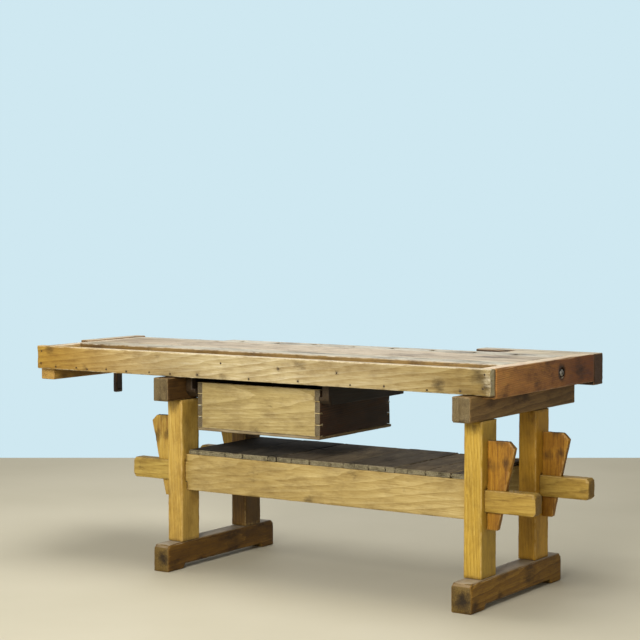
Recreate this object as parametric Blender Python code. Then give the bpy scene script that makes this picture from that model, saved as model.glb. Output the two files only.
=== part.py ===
"""Joiner's bench: planked top with a tool tray, two wooden vises, a hanging drawer and a
knock-down underframe whose stretchers are held by loose wedges. Units are metres.

Drawing axes: X runs along the bench from the outer left end of the tray board, Y runs away
from that board's outer face towards the vise side, Z runs up from the floor. Every object is
moved by -CENTRE at the end, so the model's origin is on the floor under its middle.
"""
import math

import bmesh
import bpy
from mathutils import Vector

# ---- driving dimensions ----------------------------------------------------------------
TOP_Z = 0.830                    # working surface
BENCH_LENGTH = 2.036             # tray board, end to end
SLAB_UNDERSIDE = 0.7363
SLAB_SEAMS = (0.190, 0.310, 0.580, 0.700)      # the three glued planks, tray side first
TRAY_BOARD = 0.034               # thickness of the board that closes the tray
TRAY_BOARD_BOTTOM = 0.7383
LEFT_CAP = (-0.010, 0.0577)
RIGHT_CAP = (1.9815, BENCH_LENGTH)

LEFT_FRAME = (0.624, 0.693)      # thickness of the left trestle along X
RIGHT_FRAME = (1.910, 1.980)
NEAR_LEG = (0.044, 0.154)
FAR_LEG = (0.454, 0.560)
FOOT = (-0.044, 0.652)
FOOT_HEIGHT = 0.103
BEARER = (-0.043, 0.777)
BEARER_Z = (0.6472, 0.736)

STRETCHER_Z = (0.301, 0.439)
STRETCHER_THICK = 0.050
STRETCHER_Y = (0.068, 0.490)     # tray-side face of each stretcher
TENON_Z = (0.3328, 0.4100)
TENON_ENDS = (0.436, 2.173)

DRAWER_X = (0.741, 1.297)
DRAWER_Y = (0.080, 0.571)
DRAWER_Z = (0.5315, 0.715)
DRAWER_WALL = 0.021
DRAWER_FLOOR = 0.011

VISE_SCREW_R = 0.018
HUB_R = 0.033
HANDLE = (0.021, 0.042)          # flat bar: along the screw, across the screw
TAIL_AXIS = (0.636, 0.748)       # Y, Z of the tail vise screw
TAIL_HUB_END = -0.142
SHOULDER_AXIS = (1.6225, 0.770)  # X, Z of the shoulder vise screw
SHOULDER_HUB_END = 0.988
ARM = (0.8225, 0.904)

DOG = (0.0214, 0.0434)           # bench dog, along X and across
DOG_Y = 0.640
DOG_LENGTH = 0.120
DOG_PITCH = 0.180
DOG_FIRST = 0.550
DOG_COUNT = 8

FIT = 0.0003                     # gap where two pieces touch
RUN = 0.0005                     # running clearance of screws and dogs
EASED = 0.002                    # ordinary worn arris

CENTRE = Vector((
    (TAIL_HUB_END + TENON_ENDS[1]) / 2,
    (FOOT[0] + SHOULDER_HUB_END) / 2,
    0.0,
))

# name: colour (sRGB hex), roughness, metallic
FINISHES = {
    "worn_top": ("a8946c", 0.50, 0.0),
    "honey_beech": ("b8944a", 0.55, 0.0),
    "aged_cap": ("7a5430", 0.55, 0.0),
    "dark_block": ("4b3826", 0.60, 0.0),
    "weathered_shelf": ("5d5543", 0.80, 0.0),
    "pale_pine": ("ad9b6a", 0.60, 0.0),
    "dark_pine": ("3a2a1e", 0.70, 0.0),
    "wedge_wood": ("946a2c", 0.55, 0.0),
    "vise_wood": ("2e241c", 0.50, 0.0),
    "iron": ("55524e", 0.50, 0.9),
}


# ---- scene and materials ---------------------------------------------------------------
def clear_scene():
    for thing in list(bpy.data.objects):
        bpy.data.objects.remove(thing)


def linear(channel):
    return channel / 12.92 if channel <= 0.04045 else ((channel + 0.055) / 1.055) ** 2.4


def make_finish(name):
    hex_colour, roughness, metallic = FINISHES[name]
    channels = [linear(int(hex_colour[i:i + 2], 16) / 255) for i in (0, 2, 4)]
    material = bpy.data.materials.new(name)
    material.use_nodes = True
    shader = material.node_tree.nodes["Principled BSDF"]
    shader.inputs["Base Color"].default_value = (*channels, 1.0)
    shader.inputs["Roughness"].default_value = roughness
    shader.inputs["Metallic"].default_value = metallic
    return material


# ---- shapes ----------------------------------------------------------------------------
def finish_object(name, shape, finish, pivot=None, smooth=False):
    """Link a bmesh drawn in drawing axes as an object with its origin at pivot."""
    bmesh.ops.recalc_face_normals(shape, faces=shape.faces)
    if pivot is None:
        corners = [v.co for v in shape.verts]
        low = Vector(min(c[i] for c in corners) for i in range(3))
        high = Vector(max(c[i] for c in corners) for i in range(3))
        pivot = (low + high) / 2
    pivot = Vector(pivot)
    bmesh.ops.translate(shape, verts=shape.verts, vec=-pivot)
    mesh = bpy.data.meshes.new(name)
    shape.to_mesh(mesh)
    shape.free()
    if finish:
        mesh.materials.append(bpy.data.materials[finish])
    if smooth:
        mesh.shade_smooth()
        mesh.set_sharp_from_angle(angle=math.radians(35))
    thing = bpy.data.objects.new(name, mesh)
    thing.location = pivot - CENTRE
    bpy.context.collection.objects.link(thing)
    return thing


def add_block(shape, x, y, z, eased=0.0):
    """Add a squared block between three (low, high) pairs."""
    made = bmesh.ops.create_cube(shape, size=1.0)["verts"]
    spans = (x, y, z)
    for vert in made:
        vert.co = Vector(s[0] + (vert.co[i] + 0.5) * (s[1] - s[0]) for i, s in enumerate(spans))
    if eased:
        edges = list({edge for vert in made for edge in vert.link_edges})
        bmesh.ops.bevel(shape, geom=edges, offset=eased, segments=1, affect="EDGES")


def block(name, x, y, z, finish, eased=EASED, pivot=None):
    shape = bmesh.new()
    add_block(shape, x, y, z, eased)
    return finish_object(name, shape, finish, pivot)


def add_prism(shape, outline, axis, near, far):
    """Add an outline, given in the two axes other than axis, drawn out from near to far."""
    def point(pair, along):
        values = list(pair)
        values.insert(axis, along)
        return Vector(values)

    rings = [[shape.verts.new(point(pair, along)) for pair in outline] for along in (near, far)]
    shape.faces.new(list(reversed(rings[0])))
    shape.faces.new(rings[1])
    join_rings(shape, rings[0], rings[1])


def prism(name, outline, axis, near, far, finish, eased=0.0, pivot=None):
    shape = bmesh.new()
    add_prism(shape, outline, axis, near, far)
    bmesh.ops.recalc_face_normals(shape, faces=shape.faces)
    if eased:
        outer = [edge for edge in shape.edges if edge.is_convex]
        bmesh.ops.bevel(shape, geom=outer, offset=eased, segments=1, affect="EDGES")
    return finish_object(name, shape, finish, pivot)


def join_rings(shape, lower, upper):
    count = len(lower)
    for i in range(count):
        j = (i + 1) % count
        shape.faces.new((lower[i], lower[j], upper[j], upper[i]))


def add_turning(shape, start, axis, profile, sides=24):
    """Add a turned solid: profile lists (distance along axis, radius) from start."""
    turn = Vector((0, 0, 1)).rotation_difference(Vector(axis)).to_matrix()
    rings = []
    for distance, radius in profile:
        ring = []
        for i in range(sides):
            angle = 2 * math.pi * i / sides
            local = Vector((radius * math.cos(angle), radius * math.sin(angle), distance))
            ring.append(shape.verts.new(Vector(start) + turn @ local))
        rings.append(ring)
    shape.faces.new(list(reversed(rings[0])))
    shape.faces.new(rings[-1])
    for lower, upper in zip(rings, rings[1:]):
        join_rings(shape, lower, upper)


def turning(name, start, axis, profile, finish, sides=24, pivot=None):
    shape = bmesh.new()
    add_turning(shape, start, axis, profile, sides)
    return finish_object(name, shape, finish, pivot, smooth=True)


def stepped_post(name, sections, finish):
    """A post with tenons: each section is (x, y, z) spans stacked without gaps."""
    shape = bmesh.new()
    rings = []
    for x, y, z, ease in sections:
        outline = (
            (x[0] + ease, y[0]), (x[1] - ease, y[0]), (x[1], y[0] + ease), (x[1], y[1] - ease),
            (x[1] - ease, y[1]), (x[0] + ease, y[1]), (x[0], y[1] - ease), (x[0], y[0] + ease),
        )
        for height in z:
            rings.append([shape.verts.new((*pair, height)) for pair in outline])
    shape.faces.new(list(reversed(rings[0])))
    shape.faces.new(rings[-1])
    for lower, upper in zip(rings, rings[1:]):
        join_rings(shape, lower, upper)
    return finish_object(name, shape, finish)


def cutter(name, shape):
    """A hidden guide object that only exists to be subtracted."""
    thing = finish_object(name, shape, None)
    thing.hide_render = True
    thing.display_type = "WIRE"
    return thing


def block_cutter(name, *spans):
    shape = bmesh.new()
    for x, y, z in spans:
        add_block(shape, x, y, z)
    return cutter(name, shape)


def rod_cutter(name, rods, sides=24):
    """Cutter for round holes: each rod is (start, axis, length, radius)."""
    shape = bmesh.new()
    for start, axis, length, radius in rods:
        add_turning(shape, start, axis, ((0, radius), (length, radius)), sides)
    return cutter(name, shape)


def cut(things, tool):
    for thing in things:
        modifier = thing.modifiers.new("cut_" + tool.name, "BOOLEAN")
        modifier.operation = "DIFFERENCE"
        modifier.solver = "EXACT"
        modifier.object = tool


def about(middle, width):
    return (middle - width / 2, middle + width / 2)


# ---- the top ---------------------------------------------------------------------------
def build_slab():
    """Three planks; the vise-side one is shorter at the left, where the tail vise runs."""
    names = ("slab_tray_plank", "slab_middle_plank", "slab_dog_plank")
    starts = (LEFT_CAP[1] + FIT, LEFT_CAP[1] + FIT, 0.4553)
    planks = []
    for i, (name, start) in enumerate(zip(names, starts)):
        across = (SLAB_SEAMS[i] + (FIT if i else 0.0), SLAB_SEAMS[i + 1])
        along = (start, RIGHT_CAP[0] - FIT)
        planks.append(block(name, along, across, (SLAB_UNDERSIDE, TOP_Z), "worn_top"))
    holes = [
        (about(DOG_FIRST + i * DOG_PITCH, DOG[0] + 2 * RUN),
         about(DOG_Y, DOG[1] + 2 * RUN), (0.70, 0.86))
        for i in range(DOG_COUNT)
    ]
    cut([planks[2]], block_cutter("dog_holes", *holes))
    return planks


def build_tray():
    length = (0.0, BENCH_LENGTH)
    block("tray_board", length, (0.0, TRAY_BOARD), (TRAY_BOARD_BOTTOM, TOP_Z), "honey_beech")
    block("tray_floor", (LEFT_CAP[1] + FIT, RIGHT_CAP[0] - FIT),
          (TRAY_BOARD + FIT, SLAB_SEAMS[0] - FIT), (0.741, 0.759), "worn_top")


def build_end_caps():
    """The left cap reaches past the planks to carry the tail vise's thread."""
    near = TRAY_BOARD + FIT
    step, reach, shelf = 0.5795, 0.675, 0.797
    outline = ((near, 0.693), (reach, 0.693), (reach, shelf), (step, shelf),
               (step, 0.826), (near, 0.826))
    left = prism("left_end_cap", outline, 0, *LEFT_CAP, "aged_cap", eased=EASED)
    right = block("right_end_cap", RIGHT_CAP, (near, ARM[0] - FIT), (0.7255, TOP_Z), "aged_cap")
    thread_hole = rod_cutter("tail_thread_hole", [
        ((-0.05, *TAIL_AXIS), (1, 0, 0), 0.15, VISE_SCREW_R + RUN)])
    rail_notch = block_cutter("rail_notch", ((-0.05, 0.10), (0.471, 0.509), (0.68, 0.7348)))
    cut([left], thread_hole)
    cut([left], rail_notch)
    return left, right


BOLT_R = 0.006
BOLT_HEAD_R = 0.0125
RECESS = (0.021, 0.0100)         # radius and depth of the sinking round each bolt head


def add_bolt(shape, face, direction, length):
    """A forged bolt: a low round head in its recess, turned with twelve sides, on a round shank."""
    inward = Vector(direction)
    seat = Vector(face) + inward * (RECESS[1] - FIT)
    top = seat - inward * 0.011
    add_turning(shape, top, inward, ((0, 0.0090), (0.0025, BOLT_HEAD_R), (0.011, BOLT_HEAD_R),
                                     (0.011, BOLT_R), (length, BOLT_R)), sides=12)


def bolt_hole(face, direction, length):
    inward = Vector(direction)
    start = Vector(face) - inward * 0.02
    return (
        (start, inward, 0.02 + RECESS[1], RECESS[0]),
        (start, inward, 0.02 + length + 0.012, BOLT_R + FIT),
    )


def build_nut(name, middle, axis):
    """A square nut threaded on a bolt, lying in a pocket cut from the slab's underside."""
    half, thick, sides = 0.013, 0.012, 16
    across = [i for i in range(3) if i != axis]
    shape = bmesh.new()
    rings = {}
    for end in about(middle[axis], thick):
        for edge in ("hole", "rim"):
            ring = []
            for k in range(sides):
                angle = math.pi / 4 + 2 * math.pi * k / sides
                aim = (math.cos(angle), math.sin(angle))
                reach = BOLT_R + FIT if edge == "hole" else half / max(map(abs, aim))
                point = Vector(middle)
                point[axis] = end
                for i, part in zip(across, aim):
                    point[i] += reach * part
                ring.append(shape.verts.new(point))
            rings.setdefault(edge, []).append(ring)
    (hole_a, hole_b), (rim_a, rim_b) = rings["hole"], rings["rim"]
    for first, second in ((rim_a, rim_b), (hole_b, hole_a), (rim_b, hole_b), (hole_a, rim_a)):
        join_rings(shape, first, second)
    finish_object(name, shape, "iron")


def build_bolts(planks, caps, arm, spacer):
    """Bolts through both end caps and the shoulder vise's arm, with their hidden nuts."""
    runs = (
        ("left_cap", (LEFT_CAP[0], 0.250, 0.779), (1, 0, 0), 0.180,
         [caps[0], planks[0]], 0.150, planks[0]),
        ("right_cap", (RIGHT_CAP[1], 0.548, 0.779), (-1, 0, 0), 0.180,
         [caps[1], planks[1]], 0.155, planks[1]),
        ("arm", (1.850, ARM[1], 0.775), (0, -1, 0), 0.290,
         [arm, spacer, planks[2]], 0.262, planks[2]),
    )
    for name, face, direction, length, drilled, nut_at, plank in runs:
        bolt = bmesh.new()
        add_bolt(bolt, face, direction, length)
        finish_object(f"{name}_bolt", bolt, "iron", smooth=True)
        for i, hole in enumerate(bolt_hole(face, direction, length)):
            cut(drilled if i else drilled[:1], rod_cutter(f"{name}_hole_{i}", [hole], 12))
        middle = Vector(face) + Vector(direction) * nut_at
        axis = [abs(value) for value in direction].index(1)
        build_nut(f"{name}_nut", middle, axis)
        pocket = [about(middle[i], 0.0135 if i == axis else 0.0275) for i in range(2)]
        pocket.append((SLAB_UNDERSIDE - 0.02, middle.z + 0.0138))
        cut([plank], block_cutter(f"{name}_nut_pocket", pocket))


# ---- the shoulder vise (right end, vise side) ------------------------------------------
def screw_profile(thread, hub_from, total):
    """Plain thread cylinder, then the turned head that holds the handle bar."""
    return (
        (0.0, VISE_SCREW_R - 0.003), (0.003, VISE_SCREW_R), (thread, VISE_SCREW_R),
        (hub_from, VISE_SCREW_R), (hub_from, 0.026), (hub_from + 0.008, HUB_R),
        (total - 0.014, HUB_R), (total - 0.004, 0.028), (total, 0.020),
    )


def build_shoulder_vise():
    axis_x, axis_z = SHOULDER_AXIS
    arm = block("shoulder_vise_arm", (1.535, BENCH_LENGTH), ARM, (0.711, 0.829), "dark_block",
                eased=0.003)
    spacer = block("shoulder_vise_spacer", (1.710, RIGHT_CAP[0] - FIT),
                   (SLAB_SEAMS[3] + FIT, ARM[0] - FIT), (SLAB_UNDERSIDE, 0.829), "worn_top")
    block("shoulder_vise_jaw", (1.542, 1.704), (SLAB_SEAMS[3] + FIT, 0.7254), (0.700, 0.826),
          "honey_beech")
    hole = rod_cutter("arm_thread_hole", [
        ((axis_x, 0.80, axis_z), (0, 1, 0), 0.13, VISE_SCREW_R + RUN)])
    cut([arm], hole)

    start = 0.7254 + FIT
    total = SHOULDER_HUB_END - start
    screw = turning("shoulder_vise_screw", (axis_x, start, axis_z), (0, 1, 0),
                    screw_profile(0.15, 0.914 - start, total), "vise_wood",
                    pivot=(axis_x, start, axis_z))
    bar_y = SHOULDER_HUB_END - 0.025
    slot = block_cutter("shoulder_handle_slot", (
        (axis_x - 0.06, axis_x + 0.06), about(bar_y, HANDLE[0] + 2 * FIT),
        about(axis_z, HANDLE[1] + 2 * FIT)))
    cut([screw], slot)
    half = 0.150
    block("shoulder_vise_handle", (axis_x - half, axis_x + half), about(bar_y, HANDLE[0]),
          about(axis_z, HANDLE[1]), "vise_wood", eased=0.004,
          pivot=(axis_x, bar_y, axis_z))
    return arm, spacer


# ---- the tail vise (left end, vise side) -----------------------------------------------
def build_tail_vise():
    inner = LEFT_CAP[0] - 0.0025
    core = SLAB_SEAMS[2] + 0.003
    cheek = 0.676
    block("tail_vise_cheek", (inner + FIT, 0.452), (cheek, SLAB_SEAMS[3]), (0.700, 0.824),
          "worn_top")
    jaw = block("tail_vise_jaw", (0.290, 0.452), (core, cheek - FIT), (0.700, 0.826),
                "worn_top")
    block("tail_vise_cover", (inner + FIT, 0.290 - FIT), (core, cheek - FIT), (0.800, 0.826),
          "worn_top")
    cross = block("tail_vise_cross_piece", (-0.065, inner), (0.336, SLAB_SEAMS[3]),
                  (0.700, TOP_Z), "aged_cap", eased=0.003)
    hole = rod_cutter("cross_piece_hole", [
        ((-0.10, *TAIL_AXIS), (1, 0, 0), 0.12, VISE_SCREW_R + RUN)])
    cut([cross], hole)
    dog_hole = block_cutter("tail_dog_hole", (
        about(0.420, DOG[0] + 2 * RUN), about(DOG_Y, DOG[1] + 2 * RUN), (0.68, 0.85)))
    cut([jaw], dog_hole)

    block("tail_vise_rail", (inner + FIT, 0.580), (0.472, 0.508), (0.7035, 0.7335),
          "honey_beech")
    keeper = block("tail_vise_keeper", (0.300, 0.340), (0.440, 0.540), (0.690, 0.736),
                   "honey_beech")
    cut([keeper], block_cutter("keeper_slot", ((0.28, 0.36), (0.471, 0.509), (0.7025, 0.76))))

    start = 0.270
    total = start - TAIL_HUB_END
    screw = turning("tail_vise_screw", (start, *TAIL_AXIS), (-1, 0, 0),
                    screw_profile(0.30, start + 0.0655, total), "vise_wood",
                    pivot=(start, *TAIL_AXIS))
    bar_x = TAIL_HUB_END + 0.025
    axis_y, axis_z = TAIL_AXIS
    slot = block_cutter("tail_handle_slot", (
        about(bar_x, HANDLE[0] + 2 * FIT), about(axis_y, HANDLE[1] + 2 * FIT),
        (axis_z - 0.06, axis_z + 0.06)))
    cut([screw], slot)
    block("tail_vise_handle", about(bar_x, HANDLE[0]), about(axis_y, HANDLE[1]),
          (0.585, 0.800), "vise_wood", eased=0.004, pivot=(bar_x, axis_y, axis_z))


def build_dogs():
    for name, x, top in (("slab_dog", DOG_FIRST + 2 * DOG_PITCH, 0.8292),
                         ("tail_vise_dog", 0.420, 0.8255)):
        block(name, about(x, DOG[0]), about(DOG_Y, DOG[1]), (top - DOG_LENGTH, top),
              "wedge_wood", eased=0.0015, pivot=(x, DOG_Y, top - DOG_LENGTH))


# ---- the underframe --------------------------------------------------------------------
TENON_DEPTH = 0.050


def leg_tenon(frame, leg):
    middle = sum(frame) / 2
    return about(middle, 0.024), (leg[0] + 0.014, leg[1] - 0.014)


def build_trestle(side, frame):
    """Foot, two legs and bearer, joined by blind mortises and tenons."""
    chamfer = 0.015
    arch, pads = 0.017, (0.052, 0.570)
    foot_outline = (
        (FOOT[0], 0.0), (pads[0], 0.0), (pads[0] + arch, arch), (pads[1] - 0.6 * arch, arch),
        (pads[1], 0.0), (FOOT[1], 0.0), (FOOT[1], FOOT_HEIGHT - chamfer),
        (FOOT[1] - chamfer, FOOT_HEIGHT), (FOOT[0] + chamfer, FOOT_HEIGHT),
        (FOOT[0], FOOT_HEIGHT - chamfer),
    )
    spread = (frame[0] + 0.001, frame[1] + 0.009) if side == "right" else frame
    foot = prism(f"{side}_foot", foot_outline, 0, *spread, "honey_beech", eased=0.003)
    bearer = block(f"{side}_bearer", frame, BEARER, BEARER_Z, "honey_beech", eased=0.003)
    legs = []
    mortises = []
    for place, leg in (("near", NEAR_LEG), ("far", FAR_LEG)):
        tenon_x, tenon_y = leg_tenon(frame, leg)
        low, high = FOOT_HEIGHT + FIT, BEARER_Z[0] - FIT
        legs.append(stepped_post(f"{side}_{place}_leg", (
            (tenon_x, tenon_y, (low - TENON_DEPTH, low), 0.001),
            (frame, leg, (low, high), 0.003),
            (tenon_x, tenon_y, (high, high + TENON_DEPTH), 0.001),
        ), "honey_beech"))
        wide_x = (tenon_x[0] - FIT, tenon_x[1] + FIT)
        wide_y = (tenon_y[0] - FIT, tenon_y[1] + FIT)
        mortises.append((wide_x, wide_y, (low - TENON_DEPTH - 0.002, FOOT_HEIGHT + 0.02)))
        mortises.append((wide_x, wide_y, (BEARER_Z[0] - 0.02, high + TENON_DEPTH + 0.002)))
    tool = block_cutter(f"{side}_mortises", *mortises)
    cut([foot, bearer], tool)
    return legs, bearer


def wedge_outline(side, top, grow=0.0):
    """Straight flank against the leg, slanted outer flank, clipped top corner; in X and Z."""
    slope, bottom_width, bottom, clip = 0.225, 0.041, top - 0.310, 0.023
    outward = 1 if side == "right" else -1
    flank = RIGHT_FRAME[1] if side == "right" else LEFT_FRAME[0]
    flank += outward * FIT
    width = bottom_width + slope * (top - clip - bottom)
    points = ((-grow, bottom), (bottom_width + grow, bottom), (width + grow, top - clip),
              (width + grow - clip, top), (-grow, top))
    return [(flank + outward * x, z) for x, z in points]


def build_stretchers(legs):
    """Two rails with long through tenons, each locked outside the leg by a loose wedge."""
    wedge_thick = 0.022
    for place, near in zip(("near", "far"), STRETCHER_Y):
        across = (near, near + STRETCHER_THICK)
        low, high = STRETCHER_Z
        left, right = TENON_ENDS
        shoulders = (LEFT_FRAME[1] + FIT, RIGHT_FRAME[0] - FIT)
        clip = 0.010
        outline = [
            (left, TENON_Z[0] + clip), (left + clip, TENON_Z[0]), (shoulders[0], TENON_Z[0]),
            (shoulders[0], low), (shoulders[1], low), (shoulders[1], TENON_Z[0]),
            (right - clip, TENON_Z[0]), (right, TENON_Z[0] + clip), (right, TENON_Z[1] - clip),
            (right - clip, TENON_Z[1]), (shoulders[1], TENON_Z[1]), (shoulders[1], high),
            (shoulders[0], high), (shoulders[0], TENON_Z[1]), (left + clip, TENON_Z[1]),
            (left, TENON_Z[1] - clip),
        ]
        rail = prism(f"{place}_stretcher", outline, 1, *across, "honey_beech", eased=EASED)
        hole = block_cutter(f"{place}_tenon_holes", (
            (left, right), (across[0] - FIT, across[1] + FIT),
            (TENON_Z[0] - FIT, TENON_Z[1] + FIT)))
        cut([leg for leg in legs if place in leg.name], hole)
        top = 0.580 if place == "near" else 0.568
        middle = sum(across) / 2
        for side in ("left", "right"):
            flank = (RIGHT_FRAME[1] + FIT) if side == "right" else (LEFT_FRAME[0] - FIT)
            prism(f"{side}_{place}_wedge", wedge_outline(side, top), 1,
                  *about(middle, wedge_thick), "wedge_wood", eased=0.0015,
                  pivot=(flank, middle, top - 0.310))
            shape = bmesh.new()
            add_prism(shape, wedge_outline(side, top, 0.0004), 1,
                      *about(middle, wedge_thick + 2 * FIT))
            cut([rail], cutter(f"{side}_{place}_wedge_hole", shape))


# left edge, right edge, tray-side end, top of each board on the stretchers
SHELF_BOARDS = (
    (0.7060, 0.9155, 0.0670, 0.4570),
    (0.9165, 1.1100, 0.0650, 0.4580),
    (1.1120, 1.4030, 0.0690, 0.4575),
    (1.4045, 1.6200, 0.0660, 0.4590),
    (1.6215, 1.8440, 0.0680, 0.4570),
    (1.8450, 1.9020, 0.0670, 0.4560),
)


def build_shelf():
    """Loose crossways boards lying on both stretchers."""
    far_end = STRETCHER_Y[1] + STRETCHER_THICK + 0.002
    for i, (left, right, near, top) in enumerate(SHELF_BOARDS):
        block(f"shelf_board_{i + 1}", (left, right), (near, far_end),
              (STRETCHER_Z[1] + FIT, top), "weathered_shelf")


def build_locating_pins(plank, bearers):
    """Dowels that keep the loose top from sliding on the trestles."""
    y, low = 0.420, 0.708
    for side, frame, bearer in zip(("left", "right"), (LEFT_FRAME, RIGHT_FRAME), bearers):
        x = sum(frame) / 2
        turning(f"{side}_locating_pin", (x, y, low), (0, 0, 1),
                ((0, 0.010), (0.002, 0.0115), (0.053, 0.0115), (0.055, 0.010)),
                "honey_beech", 16)
        hole = ((x, y, low - 0.002), (0, 0, 1), 0.060, 0.0118)
        cut([plank, bearer], rod_cutter(f"{side}_pin_hole", [hole], 16))


# ---- the drawer ------------------------------------------------------------------------
TAILS = 4                        # on each corner, with a half pin above and below
PIN_NARROW, PIN_WIDE = 0.004, 0.010


def half_pin(depth):
    """Half the height of a pin at a depth behind the corner's outer face."""
    return (PIN_NARROW + (PIN_WIDE - PIN_NARROW) * depth / DRAWER_WALL) / 2


def joint_cutter(name, face, inward, reach, slots, spans, gap=0.0):
    """Cutter for one corner. A slot is a pair of flanks; a flank is (pin's height, +1 or -1)."""
    shape = bmesh.new()
    for lower, upper in slots:
        outline = [
            (face + inward * depth, z + side * (half_pin(depth) - gap))
            for depth, (z, side) in (
                (-0.004, lower), (reach, lower), (reach, upper), (-0.004, upper))
        ]
        for span in spans:
            add_prism(shape, outline, 0, *span)
    return cutter(name, shape)


def build_drawer():
    """Through-dovetailed box on a nailed floor board; it hangs from side cleats."""
    left, right = DRAWER_X
    near, far = DRAWER_Y
    low, high = DRAWER_Z[0] + DRAWER_FLOOR + FIT, DRAWER_Z[1]
    wall, height = DRAWER_WALL, (low, high)
    block("drawer_bottom", DRAWER_X, (near, far + 0.014), (DRAWER_Z[0], low - FIT), "pale_pine")
    front = block("drawer_front", DRAWER_X, (near, near + wall), height, "pale_pine", 0.001)
    back = block("drawer_back", DRAWER_X, (far - wall, far), height, "dark_pine", 0.001)
    sides = [block(f"drawer_{side}_side", x, DRAWER_Y, height, "dark_pine", 0.001)
             for side, x in (("left", (left, left + wall)), ("right", (right - wall, right)))]

    pins = [low + i * (high - low) / TAILS for i in range(TAILS + 1)]
    pin_slots = [((z, -1), (z, 1)) for z in pins]
    tail_slots = [((below, 1), (above, -1)) for below, above in zip(pins, pins[1:])]
    ends = ((left - 0.01, left + wall + FIT), (right - wall - FIT, right + 0.01))
    for panel, face, inward in ((front, near, 1), (back, far, -1)):
        cut([panel], joint_cutter(f"{panel.name}_sockets", face, inward, wall + 0.004,
                                  tail_slots, ends, FIT))
        cut(sides, joint_cutter(f"{panel.name}_pins", face, inward, wall + FIT,
                                pin_slots, [(left - 0.01, right + 0.01)]))

    for side, x in (("left", (left - 0.0153, left - FIT)),
                    ("right", (right + FIT, right + 0.0153))):
        block(f"drawer_{side}_cleat", x, (0.100, 0.555), (0.6912, 0.7120), "dark_pine", 0.001)


def build_runners():
    """L-shaped rails under the slab; the drawer's cleats slide on their lips."""
    near, far = 0.068, 0.600
    top, lip, bottom = SLAB_UNDERSIDE - FIT, 0.6907, 0.660
    for side, wall, inner, tip in (("left", 0.6945, 0.7237, 0.7387),
                                   ("right", 1.3435, 1.3143, 1.2993)):
        outline = ((wall, bottom), (tip, bottom), (tip, lip), (inner, lip), (inner, top),
                   (wall, top))
        runner = prism(f"drawer_{side}_runner", outline, 1, near, far, "wedge_wood",
                       eased=0.0015)
        nose = bmesh.new()
        add_prism(nose, ((near - 0.02, bottom - 0.02), (near + 0.04, bottom - 0.02),
                         (near - 0.02, bottom + 0.04)), 0, min(wall, tip) - 0.01,
                  max(wall, tip) + 0.01)
        cut([runner], cutter(f"{side}_runner_nose", nose))


def build_bench():
    clear_scene()
    for name in FINISHES:
        make_finish(name)
    planks = build_slab()
    build_tray()
    caps = build_end_caps()
    arm, spacer = build_shoulder_vise()
    build_tail_vise()
    build_dogs()
    build_bolts(planks, caps, arm, spacer)
    left_legs, left_bearer = build_trestle("left", LEFT_FRAME)
    right_legs, right_bearer = build_trestle("right", RIGHT_FRAME)
    build_stretchers(left_legs + right_legs)
    build_shelf()
    build_locating_pins(planks[1], [left_bearer, right_bearer])
    build_drawer()
    build_runners()


build_bench()
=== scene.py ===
import math

import bmesh
import bpy
from mathutils import Euler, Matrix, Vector, noise


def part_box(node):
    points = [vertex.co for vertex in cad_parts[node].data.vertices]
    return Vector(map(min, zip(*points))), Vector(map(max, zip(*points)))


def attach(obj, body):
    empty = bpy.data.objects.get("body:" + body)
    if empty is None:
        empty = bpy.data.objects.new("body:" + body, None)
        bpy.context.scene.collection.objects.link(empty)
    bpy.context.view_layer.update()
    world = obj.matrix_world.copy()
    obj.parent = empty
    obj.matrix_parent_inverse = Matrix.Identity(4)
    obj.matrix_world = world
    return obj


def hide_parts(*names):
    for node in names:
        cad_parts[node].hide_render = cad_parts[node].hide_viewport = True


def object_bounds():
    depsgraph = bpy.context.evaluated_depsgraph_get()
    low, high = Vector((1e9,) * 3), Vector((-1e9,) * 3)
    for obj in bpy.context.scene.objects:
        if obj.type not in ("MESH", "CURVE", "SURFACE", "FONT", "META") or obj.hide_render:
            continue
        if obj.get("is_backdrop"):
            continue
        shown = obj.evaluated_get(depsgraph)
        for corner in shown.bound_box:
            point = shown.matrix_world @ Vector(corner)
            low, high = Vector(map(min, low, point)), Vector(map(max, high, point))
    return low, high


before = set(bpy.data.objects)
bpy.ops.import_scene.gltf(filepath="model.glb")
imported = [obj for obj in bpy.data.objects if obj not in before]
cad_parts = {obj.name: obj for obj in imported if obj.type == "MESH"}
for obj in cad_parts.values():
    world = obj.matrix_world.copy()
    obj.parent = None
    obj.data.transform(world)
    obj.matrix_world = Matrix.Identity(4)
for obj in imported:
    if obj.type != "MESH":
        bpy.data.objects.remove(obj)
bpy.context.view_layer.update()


# ---- feet --------------------------------------------------------------------------------
# Two beech sledge feet, planed on four sides, with chamfered ends and a low arch
# between two pads. Floor damp and kicks have left dark stains and bruised corners.
ALONG_X, ALONG_Y, ALONG_Z = 0, 1, 2      # which way a board's grain runs


def colour(hex_code):
    """Linear RGBA for an sRGB hex colour."""
    shares = [int(hex_code[i:i + 2], 16) / 255 for i in (0, 2, 4)]
    return (*[s / 12.92 if s <= 0.04045 else ((s + 0.055) / 1.055) ** 2.4 for s in shares], 1.0)


def add_node(tree, kind, feeds=(), stops=(), **settings):
    """Add a node. feeds maps an input to a value or to the socket that drives it.

    Sockets with no name of their own go by number. A colour mix takes its share at 0 and
    its colours at 6 and 7, and gives 2; a map range maps 0 from 1 and 2 to 3 and 4.
    """
    node = tree.nodes.new(kind)
    for name, value in settings.items():
        setattr(node, name, value)
    for place, value in dict(feeds).items():
        if isinstance(value, bpy.types.NodeSocket):
            tree.links.new(value, node.inputs[place])
        else:
            node.inputs[place].default_value = value
    if stops:
        ramp = node.color_ramp.elements
        while len(ramp) < len(stops):
            ramp.new(1.0)
        for stop, (position, shade) in zip(ramp, stops):
            stop.position, stop.color = position, colour(shade)
    return node


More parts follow.
